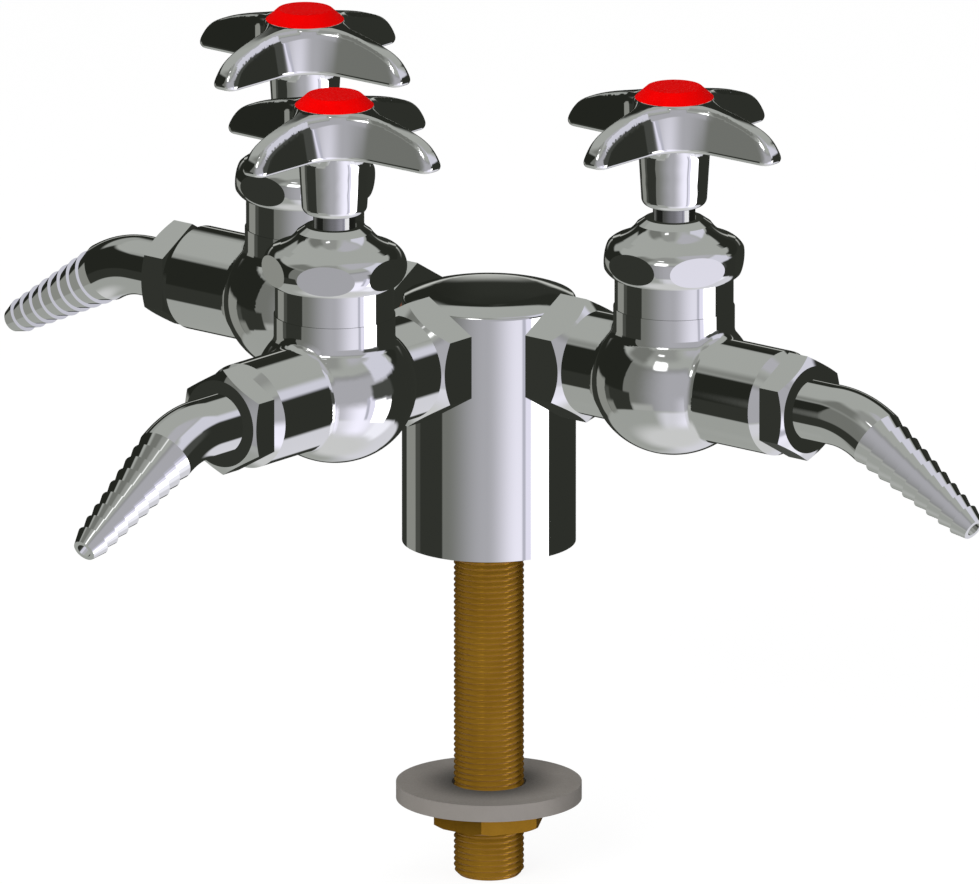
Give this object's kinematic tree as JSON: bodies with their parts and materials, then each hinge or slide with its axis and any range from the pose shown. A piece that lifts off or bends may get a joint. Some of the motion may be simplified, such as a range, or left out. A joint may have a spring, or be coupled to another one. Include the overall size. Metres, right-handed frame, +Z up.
{
  "type": "laboratory turret valve",
  "caption": "Bench turret with needle valves set round it: cross handles with red index buttons, faceted bonnets and bent serrated hose nozzles, on a threaded shank with locknut.",
  "frame": {"origin": "centre of the turret's underside, on the bench top and the shank's axis", "axes": "+Z up along the turret and shank; +X towards the right valve's nozzle, -Y towards the front valve's nozzle"},
  "size_m": [0.3018, 0.1823, 0.2038],
  "materials": {
    "chrome_plate": "polished chrome plate on brass",
    "polished_steel": "turned and polished stainless steel",
    "brass": "plain machined brass",
    "grey_steel": "matt grey zinc-plated steel",
    "red_plastic": "red moulded plastic with a fine grain",
    "fibre": "vulcanised fibre",
    "packing": "woven fluoropolymer packing"
  },
  "bodies": {
    "root": {"turret_head": "chrome_plate", "turret_base": "chrome_plate", "shank": "brass", "right_valve_body": "chrome_plate", "right_inlet_nipple": "brass", "right_inlet_gasket": "fibre", "right_seat_ring": "brass", "right_bonnet": "chrome_plate", "right_bonnet_gasket": "fibre", "right_packing": "packing", "right_packing_gland": "brass", "right_bonnet_cap": "chrome_plate", "right_nozzle_nut": "chrome_plate", "right_nozzle": "chrome_plate", "right_nozzle_gasket": "fibre", "left_valve_body": "chrome_plate", "left_inlet_nipple": "brass", "left_inlet_gasket": "fibre", "left_seat_ring": "brass", "left_bonnet": "chrome_plate", "left_bonnet_gasket": "fibre", "left_packing": "packing", "left_packing_gland": "brass", "left_bonnet_cap": "chrome_plate", "left_nozzle_nut": "chrome_plate", "left_nozzle": "chrome_plate", "left_nozzle_gasket": "fibre", "front_valve_body": "chrome_plate", "front_inlet_nipple": "brass", "front_inlet_gasket": "fibre", "front_seat_ring": "brass", "front_bonnet": "chrome_plate", "front_bonnet_gasket": "fibre", "front_packing": "packing", "front_packing_gland": "brass", "front_bonnet_cap": "chrome_plate", "front_nozzle_nut": "chrome_plate", "front_nozzle": "chrome_plate", "front_nozzle_gasket": "fibre"},
    "right_needle": {"right_needle_cone": "polished_steel"},
    "right_spindle": {"right_stem": "polished_steel", "right_handle": "chrome_plate", "right_handle_screw": "polished_steel", "right_index_button": "red_plastic"},
    "left_needle": {"left_needle_cone": "polished_steel"},
    "left_spindle": {"left_stem": "polished_steel", "left_handle": "chrome_plate", "left_handle_screw": "polished_steel", "left_index_button": "red_plastic"},
    "front_needle": {"front_needle_cone": "polished_steel"},
    "front_spindle": {"front_stem": "polished_steel", "front_handle": "chrome_plate", "front_handle_screw": "polished_steel", "front_index_button": "red_plastic"},
    "washer": {"deck_washer": "grey_steel"},
    "nut": {"locknut": "brass"}
  },
  "joints": [
    {"name": "right_needle_rise", "type": "slide", "parent": "root", "child": "right_needle", "axis": [0, 0, 1], "range_m": [0, 0.00254]},
    {"name": "right_handle_turn", "type": "hinge", "parent": "right_needle", "child": "right_spindle", "pos_m": [0.05715, 0, 0.1], "axis": [0, 0, 1], "range_deg": [0, 720]},
    {"name": "left_needle_rise", "type": "slide", "parent": "root", "child": "left_needle", "axis": [0, 0, 1], "range_m": [0, 0.00254]},
    {"name": "left_handle_turn", "type": "hinge", "parent": "left_needle", "child": "left_spindle", "pos_m": [-0.05715, 0, 0.1], "axis": [0, 0, 1], "range_deg": [0, 720]},
    {"name": "front_needle_rise", "type": "slide", "parent": "root", "child": "front_needle", "axis": [0, 0, 1], "range_m": [0, 0.00254]},
    {"name": "front_handle_turn", "type": "hinge", "parent": "front_needle", "child": "front_spindle", "pos_m": [0, -0.05715, 0.1], "axis": [0, 0, 1], "range_deg": [0, 720]},
    {"name": "washer_slide", "type": "slide", "parent": "root", "child": "washer", "axis": [0, 0, 1], "range_m": [-0.01128, 0.05503]},
    {"name": "locknut_turn", "type": "hinge", "parent": "washer", "child": "nut", "pos_m": [0, 0, -0.0668], "axis": [0, 0, 1], "range_deg": [-2880, 14040]}
  ],
  "couplings": [
    {"joint": "right_handle_turn", "follows": "right_needle_rise", "rad_per_m": 4947.4},
    {"joint": "left_handle_turn", "follows": "left_needle_rise", "rad_per_m": 4947.4},
    {"joint": "front_handle_turn", "follows": "front_needle_rise", "rad_per_m": 4947.4},
    {"joint": "locknut_turn", "follows": "washer_slide", "rad_per_m": 4452.7}
  ]
}
